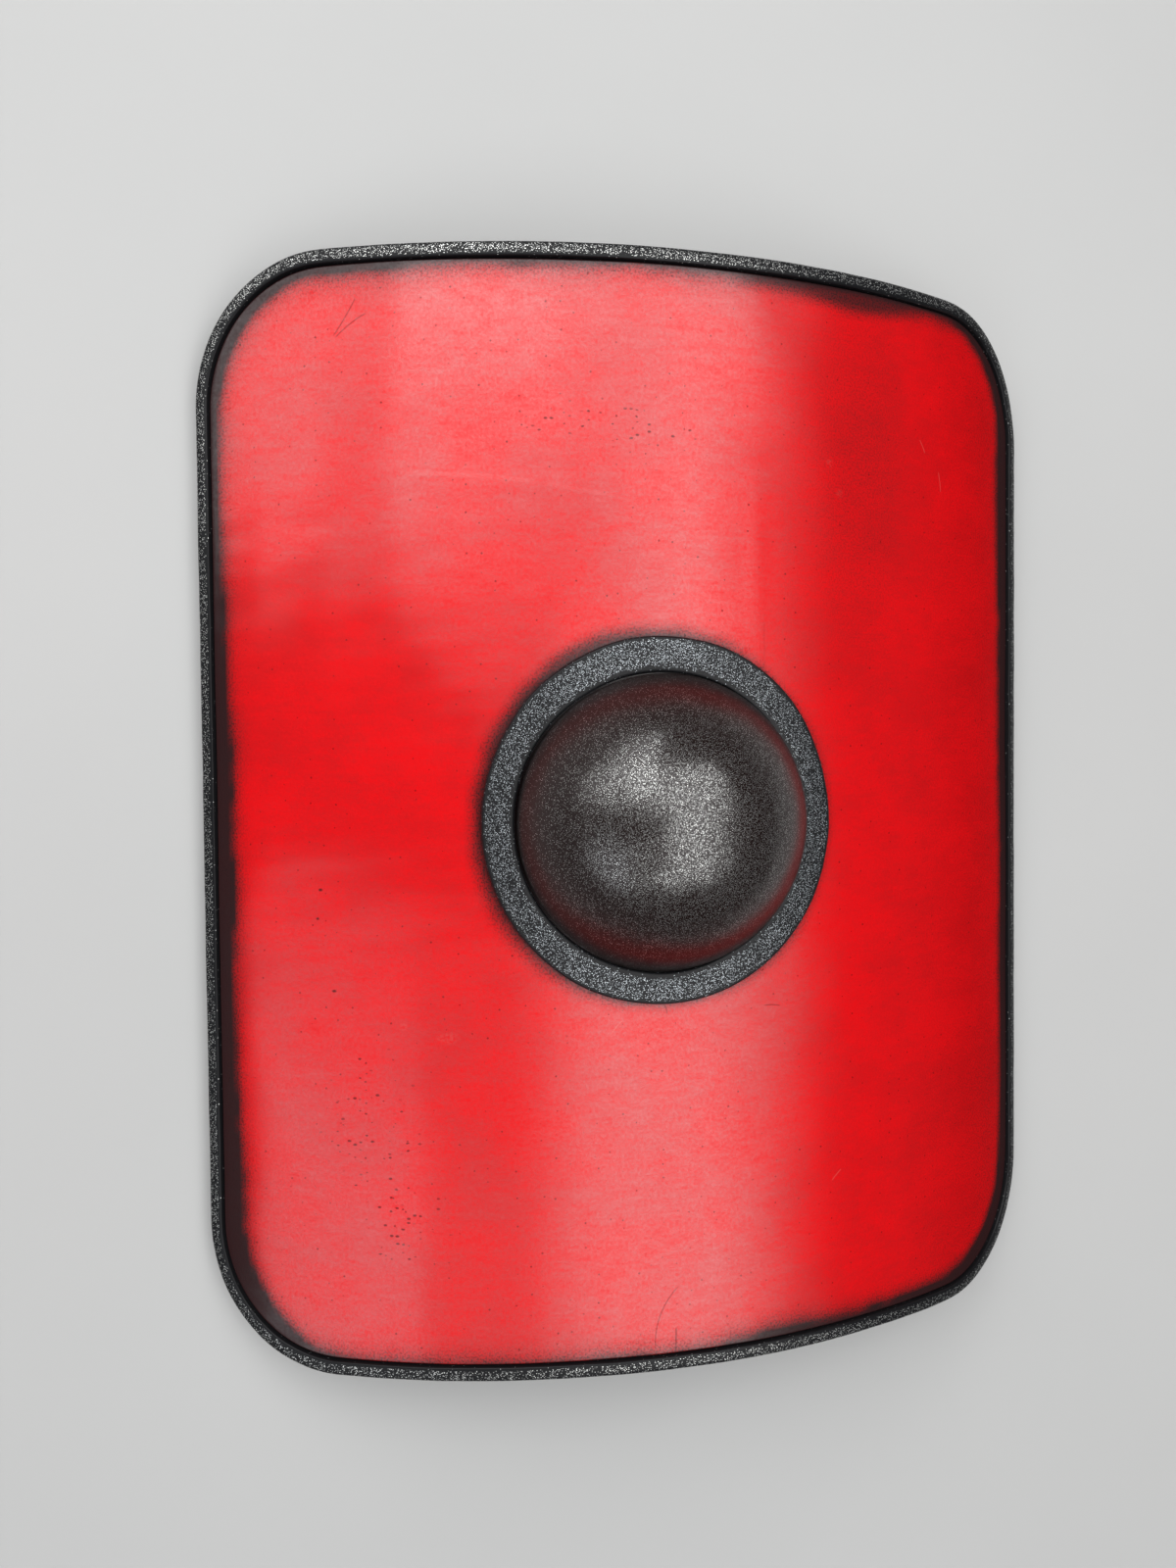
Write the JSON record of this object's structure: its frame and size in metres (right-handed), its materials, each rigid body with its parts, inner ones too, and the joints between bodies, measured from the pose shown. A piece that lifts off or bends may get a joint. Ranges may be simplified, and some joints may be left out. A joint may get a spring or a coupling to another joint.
{
  "type": "roman scutum shield, foam costume copy",
  "caption": "Curved rectangular roman scutum in latexed foam: red face, black speckled rim, round dome boss on a flat ring, leather grip and arm strap behind.",
  "frame": {"origin": "on the surface that the shield lies on, under the middle of its box", "axes": "+Z out of the face and upwards as it lies, +Y towards the shield's upper edge, +X across it, to the right seen from the front"},
  "size_m": [0.511, 0.619, 0.15],
  "materials": {
    "red_latex": "glossy painted latex over foam, black shading along the edges",
    "speckled_latex": "black latex with a fine silver speckle",
    "dome_latex": "glossy black latex, silver speckle thickest at the crown",
    "back_latex": "plain matt black latex over the foam's back",
    "leather": "dark brown strap leather with a stitched edge",
    "rivets": "dull domed steel"
  },
  "bodies": {
    "root": {"board": "red_latex", "rim": "speckled_latex", "boss_ring": "speckled_latex", "boss_dome": "dome_latex", "hand_grip": "leather", "arm_strap": "leather"}
  },
  "joints": []
}
